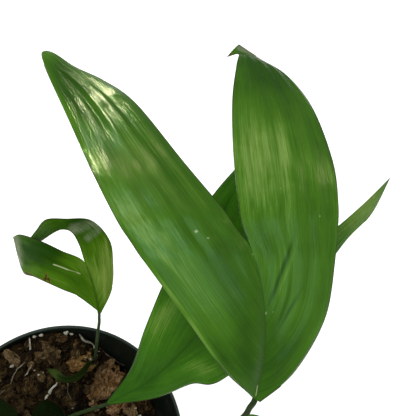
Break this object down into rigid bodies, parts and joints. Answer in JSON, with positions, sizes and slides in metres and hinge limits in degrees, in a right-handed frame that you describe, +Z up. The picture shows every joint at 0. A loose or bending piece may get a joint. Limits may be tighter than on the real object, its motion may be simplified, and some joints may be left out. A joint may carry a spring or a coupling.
{
  "type": "potted palm plant",
  "caption": "Young bamboo palm in a round nursery pot of bark potting mix, with long petioles and pleated, fishtail-forked leaves arching over the rim.",
  "frame": {"origin": "the middle of the pot's flat underside, on the surface that it stands on", "axes": "+Z up along the pot's axis; the large leaves arch towards +Y, and the pot's heaped side is at -X +Y"},
  "size_m": [0.3331, 0.3412, 0.3178],
  "materials": {
    "pot_plastic": "satin, dark green to black",
    "bark_mix": "rough, damp bark",
    "cane": "satin",
    "leaf": "glossy, pleated",
    "low_leaf": "satin, pleated"
  },
  "bodies": {
    "root": {"pot": "pot_plastic", "potting_mix": "bark_mix", "cane_a": "cane", "cane_b": "cane", "frond_a": "leaf", "frond_b": "leaf", "frond_c": "leaf", "frond_d": "low_leaf", "frond_e": "low_leaf", "frond_f": "leaf", "shoot": "low_leaf"}
  },
  "joints": []
}
